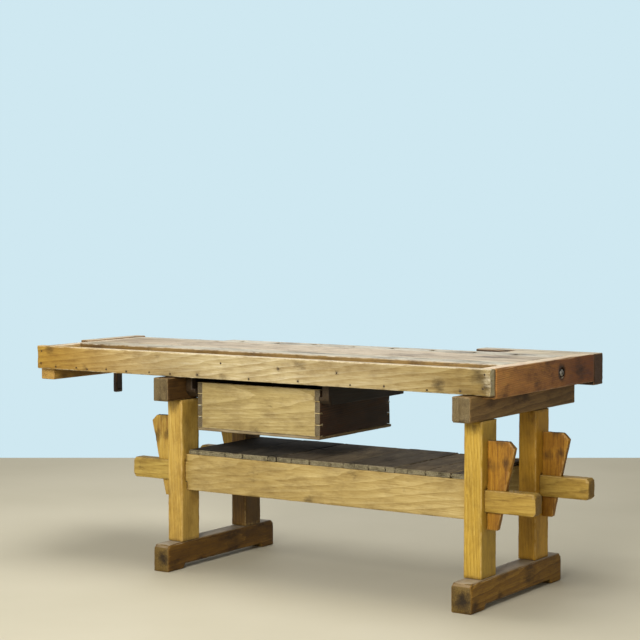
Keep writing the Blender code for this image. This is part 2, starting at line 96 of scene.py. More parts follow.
def new_material(name):
    """An empty node material and its tree."""
    material = bpy.data.materials.new(name)
    material.use_nodes = True
    material.node_tree.nodes.clear()
    return material, material.node_tree


TO_X = ((0, 0, 0), (0, 0, -math.pi / 2), (0, math.pi / 2, 0))    # turns each grain axis to X
WAVE_PERIOD = 0.314              # how far apart a wave texture's bands lie at a scale of 1
OLD_STAIN_AND_SHADE = "54452f"             # glue, oil and water marks, and a few spots of painted shade, multiply the wood by this


def timber(name, node, grain, tones, ends, dirt, rub, grime=0.4, ring=0.006, figure=0.2,
           tilt=(0.06, 0.12), pith=(0.015, 0.075), rough=(0.42, 0.66), drift=(),
           topping=("c9c0aa", 0.0)):
    """Sawn and planed solid wood, its figure cut from one log running along the grain.

    tones are the deep, middle and pale shades of a long face and ends those of end grain.
    dirt is what hands, glue and damp left and grime how much of it there is; rub is the
    colour of a rubbed arris. ring is the real growth-ring spacing and figure its share of
    the pattern; tilt and pith place the board in its log. rough is the smoothest and
    roughest finish. drift lists (axis, from, to, shade) tints across the piece. topping
    lightens its upward faces, for bleach or dust and on the end caps partly for a painted
    sheen: (shade, strength).
    """
    material, tree = new_material(name)
    low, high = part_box(node)
    seed = sorted(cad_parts).index(node)
    shift = Vector((0.73 * seed, 0, 0)) - Euler(TO_X[grain]).to_matrix() @ ((low + high) / 2)
    # A board's own corner of the log, so that no two share a pattern.
    coords = add_node(tree, "ShaderNodeTexCoord")
    board = add_node(tree, "ShaderNodeMapping", {
        "Vector": coords.outputs["Object"], "Rotation": TO_X[grain], "Location": shift})
    log = add_node(tree, "ShaderNodeMapping", {
        "Vector": board.outputs[0], "Scale": (0.11, 1, 1),
        "Rotation": (0, tilt[0], tilt[1]), "Location": (0, pith[0], pith[1])})
    rings = add_node(tree, "ShaderNodeTexWave", {
        "Vector": log.outputs[0], "Scale": WAVE_PERIOD / ring, "Distortion": 5.0, "Detail": 3.0,
        "Detail Scale": 0.35, "Detail Roughness": 0.55},
        wave_type="RINGS", rings_direction="X", wave_profile="SAW")

    def speckle(stretch, detail, roughness=0.6):
        """Noise with its own number of grains to the metre along, across and through."""
        spread = add_node(tree, "ShaderNodeVectorMath",
                          {0: board.outputs[0], 1: stretch}, operation="MULTIPLY")
        return add_node(tree, "ShaderNodeTexNoise", {
            "Vector": spread.outputs[0], "Scale": 1.0, "Detail": detail,
            "Roughness": roughness}).outputs[0]

    # Real fibres and pores are under 0.2 mm wide and ray flecks 0.5 by 3 mm, too fine to
    # show, so the first three are drawn coarser.
    fibre = speckle((11, 230, 230), 5, 0.7)      # bundles 4 mm wide and 90 mm long
    fleck = speckle((60, 600, 600), 2)           # ray flecks, 1.7 mm by 16 mm
    pores = speckle((330, 330, 330), 4, 0.7)     # 3 mm speckle of cut fibres on end grain
    patch = speckle((2.2, 6, 6), 3)              # where the wood has aged darker
    smear = speckle((8, 19, 19), 8, 0.72)        # grease and stains, 50 by 125 mm
    mottle = speckle((34, 62, 62), 4, 0.7)       # 16 mm clouds of wear and handling
    # Long grain.
    tone = add_node(tree, "ShaderNodeMix", {0: figure, 2: fibre, 3: rings.outputs["Fac"]})
    deep, middle, pale = tones
    face = add_node(tree, "ShaderNodeValToRGB", {0: tone.outputs[0]},
                    [(0.30, deep), (0.49, middle), (0.68, pale)])
    aged = add_node(tree, "ShaderNodeMapRange", {0: patch, 1: 0.42, 2: 0.64, 4: 0.60})
    face = add_node(tree, "ShaderNodeMix", {
        0: aged.outputs[0], 6: face.outputs[0], 7: colour(deep)}, data_type="RGBA")
    cloudy = add_node(tree, "ShaderNodeMapRange", {0: mottle, 1: 0.36, 2: 0.66, 4: 0.42})
    face = add_node(tree, "ShaderNodeMix", {
        0: cloudy.outputs[0], 6: face.outputs[2], 7: colour(middle)}, data_type="RGBA")
    rays = add_node(tree, "ShaderNodeMapRange", {0: fleck, 1: 0.58, 2: 0.72, 4: 0.40})
    face = add_node(tree, "ShaderNodeMix", {
        0: rays.outputs[0], 6: face.outputs[2], 7: colour(deep)}, data_type="RGBA")
    # End grain, on the faces that look along the board.
    sawn = add_node(tree, "ShaderNodeMix", {0: 0.14, 2: pores, 3: rings.outputs["Fac"]})
    sawn = add_node(tree, "ShaderNodeValToRGB", {0: sawn.outputs[0]},
                    [(0.30, ends[0]), (0.52, ends[1]), (0.72, ends[2])])
    facing = add_node(tree, "ShaderNodeVectorMath", {
        0: coords.outputs["Normal"], 1: [float(i == grain) for i in range(3)]},
        operation="DOT_PRODUCT")
    facing = add_node(tree, "ShaderNodeMath", {0: facing.outputs["Value"]},
                      operation="ABSOLUTE")
    at_end = add_node(tree, "ShaderNodeMapRange", {0: facing.outputs[0], 1: 0.6, 2: 0.85})
    shade = add_node(tree, "ShaderNodeMix", {
        0: at_end.outputs[0], 6: face.outputs[2], 7: sawn.outputs[0]}, data_type="RGBA")
    for axis, start, stop, tint in drift:
        place = add_node(tree, "ShaderNodeSeparateXYZ", {0: coords.outputs["Object"]})
        share = add_node(tree, "ShaderNodeMapRange", {
            0: place.outputs[axis], 1: start, 2: stop}, interpolation_type="SMOOTHSTEP")
        shade = add_node(tree, "ShaderNodeMix", {
            0: share.outputs[0], 6: shade.outputs[2], 7: colour(tint)},
            data_type="RGBA", blend_type="MULTIPLY")
    # Grease everywhere, stains and spots of painted shade in their own places, then what settled on
    # top, on the end caps partly a painted sheen.
    stain_and_shade = add_node(tree, "ShaderNodeAttribute", attribute_name="stain_and_shade")
    soiled = add_node(tree, "ShaderNodeMapRange", {0: smear, 1: 0.46, 2: 0.70, 4: grime})
    shade = add_node(tree, "ShaderNodeMix", {
        0: soiled.outputs[0], 6: shade.outputs[2], 7: colour(dirt)},
        data_type="RGBA", blend_type="MULTIPLY")
    marked = add_node(tree, "ShaderNodeMath", {0: stain_and_shade.outputs["Fac"], 1: 0.55, 2: smear},
                      operation="MULTIPLY_ADD")
    marked = add_node(tree, "ShaderNodeMapRange", {
        0: marked.outputs[0], 1: 0.66, 2: 1.02, 4: 0.85})
    shade = add_node(tree, "ShaderNodeMix", {
        0: marked.outputs[0], 6: shade.outputs[2], 7: colour(OLD_STAIN_AND_SHADE)},
        data_type="RGBA", blend_type="MULTIPLY")
    upward = add_node(tree, "ShaderNodeSeparateXYZ", {0: coords.outputs["Normal"]})
    upward = add_node(tree, "ShaderNodeMapRange", {0: upward.outputs["Z"], 1: 0.6, 2: 0.9})
    settled_and_sheen = add_node(tree, "ShaderNodeMapRange", {
        0: smear, 1: 0.66, 2: 0.40, 3: 0.55 * topping[1], 4: topping[1]})
    settled_and_sheen = add_node(tree, "ShaderNodeMath", {0: upward.outputs[0], 1: settled_and_sheen.outputs[0]},
                       operation="MULTIPLY")
    shade = add_node(tree, "ShaderNodeMix", {
        0: settled_and_sheen.outputs[0], 6: shade.outputs[2], 7: colour(topping[0])}, data_type="RGBA")
    # Bare wood along broken stretches of each arris.
    arris = add_node(tree, "ShaderNodeAttribute", attribute_name="arris")
    broken = add_node(tree, "ShaderNodeMapRange", {0: mottle, 1: 0.40, 2: 0.62, 4: 0.6})
    rubbed = add_node(tree, "ShaderNodeMath", {0: arris.outputs["Fac"], 1: broken.outputs[0]},
                      operation="MULTIPLY")
    shade = add_node(tree, "ShaderNodeMix", {
        0: rubbed.outputs[0], 6: shade.outputs[2], 7: colour(rub)}, data_type="RGBA")
    gloss = add_node(tree, "ShaderNodeMapRange", {
        0: fibre, 1: 0.3, 2: 0.7, 3: rough[0], 4: rough[1]})
    relief = add_node(tree, "ShaderNodeMix", {0: 0.35, 2: fibre, 3: fleck})
    relief = add_node(tree, "ShaderNodeMix", {
        0: at_end.outputs[0], 2: relief.outputs[0], 3: pores})
    bump = add_node(tree, "ShaderNodeBump", {
        "Strength": 0.45, "Distance": 0.0008, "Height": relief.outputs[0]})
    shader = add_node(tree, "ShaderNodeBsdfPrincipled", {
        "Base Color": shade.outputs[2], "Roughness": gloss.outputs[0],
        "Normal": bump.outputs[0], "Specular IOR Level": 0.35})
    add_node(tree, "ShaderNodeOutputMaterial", {0: shader.outputs[0]})
    return material


def stand(name, mesh, body, crisp=50):
    """Shade a finished mesh, keeping corners past crisp degrees, and ride it on its body."""
    mesh.shade_smooth()
    mesh.set_sharp_from_angle(angle=math.radians(crisp))
    piece = bpy.data.objects.new(name, mesh)
    bpy.context.collection.objects.link(piece)
    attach(piece, body)
    return piece


RIM = 0.0045                     # a worn arris is rounded over this far from the corner


def worn(node, body, finish, grain, cell, dent=0.0010, bite=0.0010, spots=(), splits=()):
    """Stand a used piece in a CAD node's place: bruised arrises and rough ends, all cut inwards.

    cell is the (along, across) size of the mesh it is cut into, dent how deep the arrises
    are bruised and bite how rough the ends are. spots are marks, each (share of X, Y and Z,
    radius, strength): dark, or rubbed bare where the strength is below nought. splits are
    drying cracks, each (axis across it, place, the end it starts from as -1 or 1, length,
    width, depth).
    """
    low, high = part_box(node)
    seed = Vector((sorted(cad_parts).index(node) * 3.1, 0, 0))
    shape = bmesh.new()
    shape.from_mesh(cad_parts[node].data)
    bmesh.ops.remove_doubles(shape, verts=shape.verts, dist=1e-5)
    bmesh.ops.dissolve_limit(shape, angle_limit=math.radians(1), verts=shape.verts,
                             edges=shape.edges)
    for axis in range(3):
        size = high[axis] - low[axis]
        count = max(2, round(size / cell[axis != grain]))
        cuts = [low[axis] + size * i / count for i in range(1, count)]
        cuts += [low[axis] + RIM, high[axis] - RIM]
        for across, place, _end, _length, width, _depth in splits:
            if across == axis:
                cuts += [place - width / 2, place, place + width / 2]
        facing = [float(i == axis) for i in range(3)]
        for cut in cuts:
            bmesh.ops.bisect_plane(shape, geom=[*shape.verts, *shape.edges, *shape.faces],
                                   plane_co=[cut * f for f in facing], plane_no=facing,
                                   dist=1e-5)
    shape.normal_update()
    corner = math.radians(25)
    edged = {v for e in shape.edges if e.is_manifold and e.calc_face_angle(0) > corner
             for v in e.verts}
    moves = []
    # Noise runs in turns to the metre: 31 and 110 for dents and nicks, 12 for chips, and
    # 45 and 160 for the streaks that a saw leaves down end grain.
    for v in shape.verts:
        at, push = v.co + seed, Vector()
        coarse, fine = noise.noise(at * 31), noise.noise(at * 110)
        aim = v.normal.copy()
        if v in edged:
            for e in v.link_edges:
                if e.other_vert(v) in edged:
                    aim += e.other_vert(v).normal
            aim.normalize()
            chip = max(0.0, noise.noise(at * 12) - 0.22) * 4
            push -= aim * dent * max(0.0, 0.5 + 0.7 * coarse + 0.5 * fine + chip)
        else:
            push -= aim * 0.00025 * (1 + coarse)         # hollows that a plane leaves
        if abs(v.normal[grain]) > 0.4 and bite:
            inward = -math.copysign(1.0, v.normal[grain])
            streak = at.copy()
            streak[grain] = 0.0
            push[grain] += inward * bite * max(0.0, 0.5 + 0.9 * noise.noise(streak * 45)
                                               + 0.6 * noise.noise(streak * 160))
        for across, place, end, length, width, depth in splits:
            if abs(v.co[across] - place) > width / 2 + 1e-4:
                continue
            start = high[grain] if end > 0 else low[grain]
            fade = 1 - abs(v.co[grain] - start) / length
            if fade <= 0 or abs(v.normal[across]) > 0.7:
                continue
            wander = noise.noise(Vector((v.co[grain] * 14, place * 9, 0)))
            push[across] += 0.004 * wander * min(1.0, 3 * fade)
            if abs(v.co[across] - place) < 1e-4:
                push -= v.normal * depth * min(1.0, 2.5 * fade)
        moves.append(push)
    mesh = bpy.data.meshes.new(f"worn_{node}")
    marks, rubs = [], []
    places = [(Vector(low[i] + f * (high[i] - low[i]) for i, f in enumerate(spot[:3])),
               *spot[3:]) for spot in spots]
    for v in shape.verts:
        shares = [strength * max(0.0, 1 - (v.co - place).length / radius)
                  for place, radius, strength in places] + [0.0]
        marks.append(max(shares))
        rubs.append(max((v in edged) * max(0.0, 1 - max(shares)), -min(shares)))
    for v, push in zip(shape.verts, moves):
        v.co += push
        v.co = Vector(min(max(c, a), b) for c, a, b in zip(v.co, low, high))
    shape.to_mesh(mesh)
    shape.free()
    for label, values in (("stain_and_shade", marks), ("arris", rubs)):
        mesh.attributes.new(label, "FLOAT", "POINT").data.foreach_set("value", values)
    mesh.materials.append(finish)
    piece = stand(f"worn_{node}", mesh, body)
    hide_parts(node)
    return piece


GREASE = "8a7457"                # hand dirt, oil and old glue
RUBBED = "c9aa70"                # wood where an arris is rubbed bare
FOOT_TONES = {"left": ("452b07", "6c4b13", "8b6626"), "right": ("5f3e0e", "8a641e", "b08637")}
for side, tones in FOOT_TONES.items():
    node = f"{side}_foot"
    # Planed beech gone orange brown under oil, with grey dust worked into its ends.
    beech = timber(f"foot_beech_{side}", node, ALONG_Y, tones,
                   ("49360f", "67501f", "856f38"), GREASE, "8a6c38", grime=0.75,
                   rough=(0.5, 0.75), topping=("b5ac98", 0.75))
    worn(node, "bench", beech, ALONG_Y, (0.014, 0.014), dent=0.0022,
         bite=0.0016, spots=((0.5, 0.35, 1, 0.07, 0.8), (1, 0.62, 0.5, 0.09, 0.9),
                             (1, 0.05, 0.2, 0.06, 0.9), (0.5, 0.9, 1, 0.08, 0.7),
                             (0.62, 0, 0.45, 0.045, 1.1), (1, 0.3, 0.2, 0.05, 0.9)))


# ---- legs --------------------------------------------------------------------------------
# Four beech posts, stub-tenoned into foot and bearer. Oil and hands have turned them
# honey gold and dark round each through mortise; the far left leg is painted darker.
DARK_ENDS = ("5d4825", "7d6337", "96794a")       # end grain that has drunk oil
# The far left leg's deep tones are painted shade from the shelf and stretcher in front of it; the
# far right leg is lighter than the other three.
LEG_TONES = {
    "left_near": ("99732a", "c19f4a", "d4b568"), "right_near": ("91711f", "ba9636", "ceae52"),
    "left_far": ("4c3510", "684b19", "80602a"), "right_far": ("9b6f1a", "c8982e", "dbb14c"),
}
for name, tones in LEG_TONES.items():
    node = f"{name}_leg"
    # Oiled beech: honey gold, fine straight grain, a soft sheen where hands have been.
    beech = timber(f"leg_beech_{name}", node, ALONG_Z, tones, DARK_ENDS, GREASE, RUBBED,
                   grime=0.5, ring=0.005, figure=0.18, tilt=(0.12, 0.2))
    # The spot at the top of each side face, under the bearer, is partly grime and partly painted
    # shade.
    worn(node, "bench", beech, ALONG_Z, (0.016, 0.014), dent=0.0014,
         spots=((1, 0.5, 0.42, 0.05, 0.8), (0.6, 0, 0.88, 0.05, 0.6), (0.3, 0, 0.06, 0.04, 0.7),
                (1, 0.4, 0.98, 0.06, 0.8), (0.2, 0, 0.52, 0.02, 0.6)))


# ---- bearers -----------------------------------------------------------------------------
# The beech rails that tie each pair of legs under the top. Their ends stand proud, sawn
# off rough, and years of dust and glue have turned that end grain grey brown.
# The left bearer's darker tones are painted shade under the slab's overhang.
BEARER_TONES = {"left": ("38240b", "523815", "70522a"), "right": ("56401d", "80633a", "a1834f")}
for side, tones in BEARER_TONES.items():
    node = f"{side}_bearer"
    # Beech left rough: brown, dull, smeared with glue, its end grain grey.
    beech = timber(f"bearer_beech_{side}", node, ALONG_Y, tones,
                   ("544428", "6e5e3e", "8b7b57"), GREASE, "94794d", grime=0.75,
                   rough=(0.5, 0.75))
    worn(node, "bench", beech, ALONG_Y, (0.016, 0.010), dent=0.0020,
         bite=0.0035, spots=((1, 0.2, 0.8, 0.08, 0.9), (1, 0.5, 0.9, 0.09, 0.9),
                             (0.5, 0, 0, 0.03, 0.8)),
         splits=((0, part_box(node)[0].x + 0.030, -1, 0.06, 0.003, 0.006),))


# ---- stretchers --------------------------------------------------------------------------
# Two long beech rails. A thin tenon on each end runs right through the leg and on past
# it, with a slot for a wedge; the tenon tips are hammered round from knocking down.
for place in ("near", "far"):
    node = f"{place}_stretcher"
    low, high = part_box(node)
    # Planed beech, pale straw along the rail and yellower on the handled tenons.
    beech = timber(f"stretcher_beech_{place}", node, ALONG_X, ("8d743c", "b39b60", "c9b47c"),
                   ("6b5430", "8f7643", "ab9258"), GREASE, RUBBED, grime=0.5, ring=0.007,
                   figure=0.2, tilt=(0.1, 0.3), pith=(0.05, 0.02),
                   drift=((0, low.x + 0.30, low.x + 0.22, "f6eebb"),
                          (0, high.x - 0.30, high.x - 0.22, "ebdc9c")))
    worn(node, "bench", beech, ALONG_X, (0.016, 0.012), dent=0.0018,
         bite=0.0030, spots=((0.33, 0, 0.6, 0.05, 0.5), (0.47, 0, 0.1, 0.04, 0.7),
                             (0.88, 0, 0.9, 0.05, 0.7), (0.70, 0, 0.5, 0.05, 0.5),
                             (0.985, 0, 0.5, 0.03, 0.7), (0.02, 0, 0.5, 0.03, 0.6),
                             (0.58, 0, 0.9, 0.04, 0.5)))


# ---- wedges ------------------------------------------------------------------------------
# Loose beech wedges that drop through the tenons and lock the frame. Each is chopped to
# shape, bruised at the top by the mallet and darkened by grease where it is held.
WEDGE_TONES = {"left": ("8a6a24", "b18f3c", "c8ab5c"), "right": ("6b4206", "996a14", "bc8d2a")}
for side, tones in WEDGE_TONES.items():
    for place in ("near", "far"):
        node = f"{side}_{place}_wedge"
        # Oily beech: orange gold, blotched brown where it rubs in its slot.
        beech = timber(f"wedge_beech_{side}_{place}", node, ALONG_Z, tones,
                       ("56401f", "775b30", "8f7444"), "9a6c3e", "c79f5c", grime=0.7,
                       ring=0.005, figure=0.12, pith=(0.03, 0.03))
        worn(node, node, beech, ALONG_Z, (0.010, 0.010), dent=0.0016,
             bite=0.0022, spots=((0.5, 0.5, 0.99, 0.035, 1.0), (0.4, 0, 0.33, 0.03, 0.9),
                                 (0.2, 0, 0.72, 0.045, 0.9), (0.7, 0, 0.76, 0.035, 0.9)))


# ---- shelf -------------------------------------------------------------------------------
# Rough pine boards nailed across the stretchers, left unplaned. Dust, soot and damp have
# turned them grey brown; their ends are splintered and three of them have split.
# The first two boards, under the drawer, are painted nearly black and take little dust on top:
# painted shade from the drawer.
SHELF_TONES = (("100c08", "221d15", "564e40"), ("16110b", "30291f", "6a614f"),
               ("191208", "574730", "b3a17c"), ("120d08", "463b2b", "a3957a"),
               ("1e160b", "66553a", "c0ad88"), ("120d08", "43392a", "9c8f75"))
SPLITS = {3: (0.50,), 4: (0.485,), 5: (0.545,)}          # share of the board's width
CHECKS = (0.22, 0.81)            # short drying cracks in the ends of all but the last
for number in range(1, 7):
    node = f"shelf_board_{number}"
    low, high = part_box(node)
    # Sawn pine: grey brown and quite matt, its grain raised and streaked.
    pine = timber(f"weathered_pine_{number}", node, ALONG_Y, SHELF_TONES[number - 1],
                  ("4a4233", "80775c", "a59b7c"), "655c4c", "8f846c", grime=0.9, ring=0.006,
                  figure=0.35, topping=("84796a", 0.22 if number > 2 else 0.05),
                  rough=(0.75, 0.95), tilt=(0.1, 0.15), pith=(0.02, 0.04))
    cracks = [(0, low.x + share * (high.x - low.x), -1, 0.40, 0.005, 0.012)
              for share in SPLITS.get(number, ())]
    cracks += [(0, low.x + share * (high.x - low.x), -1, 0.07, 0.003, 0.010)
               for share in (CHECKS if number < 6 else ())]
    worn(node, "bench", pine, ALONG_Y, (0.016, 0.007), dent=0.0024,
         bite=0.0075, splits=cracks, spots=((0.3, 0.4, 1, 0.12, 0.7), (0.9, 0.8, 1, 0.12, 0.8)))


# ---- nails -------------------------------------------------------------------------------
# Hand-driven iron wire nails, their heads punched flush and rusted dark. They hold the
# shelf boards, the tray board and the drawer's floor. Rust gives a dull brown black.
def iron(name, dark, light, rough):
    """Wrought iron: dark scale with rust brown patches, brighter where it is rubbed.

    Real pits are under 1 mm; the patches are drawn 6 mm across so that they show.
    """
    material, tree = new_material(name)
    coords = add_node(tree, "ShaderNodeTexCoord")
    scale = add_node(tree, "ShaderNodeTexNoise", {
        "Vector": coords.outputs["Object"], "Scale": 160.0, "Detail": 5.0, "Roughness": 0.6})
    arris = add_node(tree, "ShaderNodeAttribute", attribute_name="arris")
    bare = add_node(tree, "ShaderNodeMath", {
        0: arris.outputs["Fac"], 1: 0.35, 2: scale.outputs[0]}, operation="MULTIPLY_ADD")
    shade = add_node(tree, "ShaderNodeValToRGB", {0: bare.outputs[0]},
                     [(0.35, dark), (0.50, "4a3a2c"), (0.66, light)])
    gloss = add_node(tree, "ShaderNodeMapRange", {
        0: scale.outputs[0], 1: 0.3, 2: 0.7, 3: rough, 4: rough + 0.25})
    bump = add_node(tree, "ShaderNodeBump", {
        "Strength": 0.5, "Distance": 0.0004, "Height": scale.outputs[0]})
    shader = add_node(tree, "ShaderNodeBsdfPrincipled", {
        "Base Color": shade.outputs[0], "Roughness": gloss.outputs[0],
        "Normal": bump.outputs[0], "Metallic": 0.75})
    add_node(tree, "ShaderNodeOutputMaterial", {0: shader.outputs[0]})
    return material


RUSTED = iron("rusted_nail", "1d1713", "6b6158", 0.55)


def new_shape_tree(name, **inputs):
    """A geometry tree with named inputs, and the sockets that give their values."""
    tree = bpy.data.node_groups.new(name, "GeometryNodeTree")
    tree.interface.new_socket("Geometry", in_out="OUTPUT", socket_type="NodeSocketGeometry")
    for label, kind in {"Geometry": "Geometry", **inputs, "Finish": "Material"}.items():
        tree.interface.new_socket(label.replace("_", " "), in_out="INPUT",
                                  socket_type=f"NodeSocket{kind}")
    return tree, add_node(tree, "NodeGroupInput").outputs


def finish_shape_tree(tree, shape, given):
    """Turn what the tree made into real faces in the given finish."""
    real = add_node(tree, "GeometryNodeRealizeInstances", {0: shape.outputs[0]})
    done = add_node(tree, "GeometryNodeSetMaterial", {
        "Geometry": real.outputs[0], "Material": given["Finish"]})
    add_node(tree, "NodeGroupOutput", {0: done.outputs[0]})
    return tree


def nail_tree():
    """A domed head on every point of the mesh, turned to face the way the nail was driven."""
    tree, given = new_shape_tree("nail_heads", Head_Radius="Float", Head_Rise="Float",
                                 Facing="Vector")
    head = add_node(tree, "GeometryNodeMeshUVSphere", {
        "Segments": 12, "Rings": 6, "Radius": 1.0})
    size = add_node(tree, "ShaderNodeCombineXYZ", {
        0: given["Head Radius"], 1: given["Head Radius"], 2: given["Head Rise"]})
    head = add_node(tree, "GeometryNodeTransform", {
        "Geometry": head.outputs["Mesh"], "Scale": size.outputs[0]})
    turned = add_node(tree, "FunctionNodeAlignRotationToVector", {"Vector": given["Facing"]},
                      axis="Z")
    uneven = add_node(tree, "FunctionNodeRandomValue", {
        "Min": (0.8, 0.8, 0.7), "Max": (1.15, 1.05, 1.2), "Seed": 5}, data_type="FLOAT_VECTOR")
    heads = add_node(tree, "GeometryNodeInstanceOnPoints", {
        "Points": given["Geometry"], "Instance": head.outputs[0],
        "Rotation": turned.outputs[0], "Scale": uneven.outputs[0]})
    return finish_shape_tree(tree, heads, given)


def grown(name, body, tree, points, inputs):
    """Run a node tree on a mesh of points and keep the result as a plain piece on a body."""
    seed = bpy.data.objects.new(f"{name}_points", points)
    bpy.context.collection.objects.link(seed)
    modifier = seed.modifiers.new("shape", "NODES")
    modifier.node_group = tree
    for item in tree.interface.items_tree:
        if item.in_out == "INPUT" and item.name in inputs:
            modifier[item.identifier] = inputs[item.name]
    depsgraph = bpy.context.evaluated_depsgraph_get()
    made = bpy.data.meshes.new_from_object(seed.evaluated_get(depsgraph))
    seed.modifiers.clear()
    bpy.data.objects.remove(seed)
    bpy.data.meshes.remove(points)
    made.name = name
    stand(name, made, body, crisp=40)


NAILS = nail_tree()


def nails(name, body, places, facing, radius, rise=0.0011):
    """Drive a rusted nail or screw at each place, its head standing proud towards facing."""
    points = bpy.data.meshes.new(f"{name}_places")
    points.from_pydata(places, [], [])
    grown(name, body, NAILS, points, {
        "Head Radius": radius, "Head Rise": rise, "Facing": facing, "Finish": RUSTED})


PUNCHED = 0.0004                 # a head's middle lies this far below the wood
shelf_nails = []
for number in range(1, 7):
    low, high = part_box(f"shelf_board_{number}")
    for place in ("near", "far"):
        rail_low, rail_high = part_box(f"{place}_stretcher")
        y = (rail_low.y + rail_high.y) / 2
        for x in (low.x + 0.026, high.x - 0.030):
            wander = noise.noise(Vector((x * 50, y, 1)))
            shelf_nails.append((x + 0.006 * wander, y + 0.010 * wander, high.z - PUNCHED))
nails("shelf_nails", "bench", shelf_nails, (0, 0, 1), radius=0.0048)


# ---- slab --------------------------------------------------------------------------------
# Three thick beech planks glued edge to edge make the top, with a row of square dog
# holes. Work has bleached it grey tan, scratched it, and left glue and oil stains; its
# pale blue grey is partly a painted sheen.
def scored(material, strength):
    """Add knife and saw scores across a work surface: fine dark lines at three slants.

    Real scores are 0.3 mm wide; these are drawn a few millimetres wide so that they show.
    """
    tree = material.node_tree
    shader = next(n for n in tree.nodes if n.bl_idname == "ShaderNodeBsdfPrincipled")
    shade = shader.inputs["Base Color"].links[0].from_socket
    coords = add_node(tree, "ShaderNodeTexCoord")
    for slant, gap in ((0.35, (7, 90, 5)), (1.25, (80, 6, 5)), (-0.7, (70, 5, 5))):
        turned = add_node(tree, "ShaderNodeMapping", {
            "Vector": coords.outputs["Object"], "Rotation": (0, 0, slant)})
        spread = add_node(tree, "ShaderNodeVectorMath", {0: turned.outputs[0], 1: gap},
                          operation="MULTIPLY")
        score = add_node(tree, "ShaderNodeTexNoise", {
            "Vector": spread.outputs[0], "Scale": 1.0, "Detail": 2.0})
        mark = add_node(tree, "ShaderNodeMapRange", {
            0: score.outputs[0], 1: 0.66, 2: 0.72, 4: strength})
        shade = add_node(tree, "ShaderNodeMix", {
            0: mark.outputs[0], 6: shade, 7: colour("6a5a42")}, data_type="RGBA").outputs[2]
    tree.links.new(shade, shader.inputs["Base Color"])
    return material


# Lightened and blued: bleached wood, with a painted sheen of the bright room on top.
TOP_TONES = {
    "slab_tray_plank": ("958b74", "bfb9a4", "d8d6c8"),
    "slab_middle_plank": ("93836a", "bfaf95", "d6ccb8"),
    "slab_dog_plank": ("98907c", "c0baa8", "d9d6ca"),
}
tray_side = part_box("slab_tray_plank")[0].y
for node, tones in TOP_TONES.items():
    # Scrubbed beech: bleached grey tan with a painted sheen, dry and matt; the golden strip on the
    # side of the tray is painted shade.
    beech = timber(f"bleached_beech_and_sheen_{node}", node, ALONG_X, tones,
                   ("5b4a30", "85704b", "a08a62"), "94826c", "ded6c2", grime=0.8, ring=0.007,
                   figure=0.2, tilt=(0.3, 0.1), pith=(0.0, 0.10),
                   drift=((1, tray_side + 0.008, tray_side, "c2a168"), (0, -0.35, -1.05, "d9cfbb")))
    scored(beech, 0.35)
    worn(node, "bench", beech, ALONG_X, (0.022, 0.020), dent=0.0016,
         spots=((0.2, 0.4, 1, 0.16, 0.6), (0.55, 0.9, 1, 0.2, 0.6), (0.75, 0.3, 1, 0.15, 0.7),
                (0.9, 0.6, 1, 0.14, 0.8), (0.35, 0.7, 1, 0.13, 0.6)))


# ---- tray --------------------------------------------------------------------------------
# A shallow tool tray along the edge: a thin floor board let in beside the slab, closed by
# one long beech board. Its nails have bled dark rings and its right end is chipped white.
node = "tray_floor"
# Thin beech board, grey with the dust and filings that gather in a tray.
beech = timber("tray_floor_beech", node, ALONG_X, ("6d5d43", "8f7d60", "a89878"),
               ("5b4a30", "7d6947", "9a855e"), GREASE, "a4937a", grime=0.75, ring=0.009)
worn(node, "bench", beech, ALONG_X, (0.03, 0.02))

node = "tray_board"
low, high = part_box(node)
third = (high.x - low.x) / 3
# Planed and varnished beech: orange gold at the left, worn pale in the middle, slightly shiny.
beech = timber("tray_board_beech", node, ALONG_X, ("8f784a", "bba97d", "d2c6a5"),
               ("a39d8c", "d6d1c0", "f2efe4"), "94794f", "e6dabc", grime=0.5, ring=0.007,
               tilt=(0.12, 0.34), pith=(0.07, 0.015), rough=(0.36, 0.60),
               drift=((0, low.x + 1.2 * third, low.x, "e9c96a"),
                      (0, low.x + 1.9 * third, high.x, "d0c59f")),
               topping=("cfc0a0", 0.5))
# Places of the nails: along the board from its left end, and up from its lower edge.
ROW = [(0.098, .011), (0.205, .012), (0.261, .008), (0.358, .013), (0.458, .009),
       (0.571, .012), (0.672, .010), (0.801, .013), (1.037, .009), (1.255, .012),
       (1.478, .010), (1.617, .013), (1.790, .009), (1.920, .012), (0.910, .061),
       (1.169, .052), (1.421, .050), (0.020, .022), (0.024, .070), (2.006, .024),
       (2.012, .073)]
span = high - low
marks = [(x / span.x, 0, z / span.z, 0.013, 1.0) for x, z in ROW]
marks += [(0.978, 0, 0.72, 0.075, 0.9), (0.70, 0, 0.1, 0.03, 0.7), (0.90, 0, 0.25, 0.05, 0.7),
          (0.45, 0, 0.05, 0.04, 0.6), (0.12, 0, 0.1, 0.05, 0.5), (0.99, 0, 0.35, 0.035, 0.9),
          (0.30, 0, 0.9, 0.05, 0.5), (0.62, 0, 0.8, 0.05, 0.5), (0.03, 0, 0.9, 0.04, 0.7),
          (1, 0.2, 1, 0.035, -1.9), (1, 0.1, 0.55, 0.035, -1.5), (0.985, 0.6, 1, 0.03, -1.3),
          (1, 0.1, 0.05, 0.025, -1.4)]
worn(node, "bench", beech, ALONG_X, (0.010, 0.009), dent=0.0020, bite=0.0028,
     spots=marks)
nails("tray_nails", "bench", [(low.x + x, low.y + 0.0003, low.z + z) for x, z in ROW],
      (0, -1, 0), radius=0.0036)


# ---- end caps ----------------------------------------------------------------------------
# A cross board bolted over each end of the slab keeps it flat. Old varnish has turned
# them red brown, darker towards the working side; the left one carries a vise thread.
CAP_TONES = {"left_end_cap": ("7d5c22", "a68239", "c29c50"),
             "right_end_cap": ("955d24", "c98a42", "e0ab5b")}
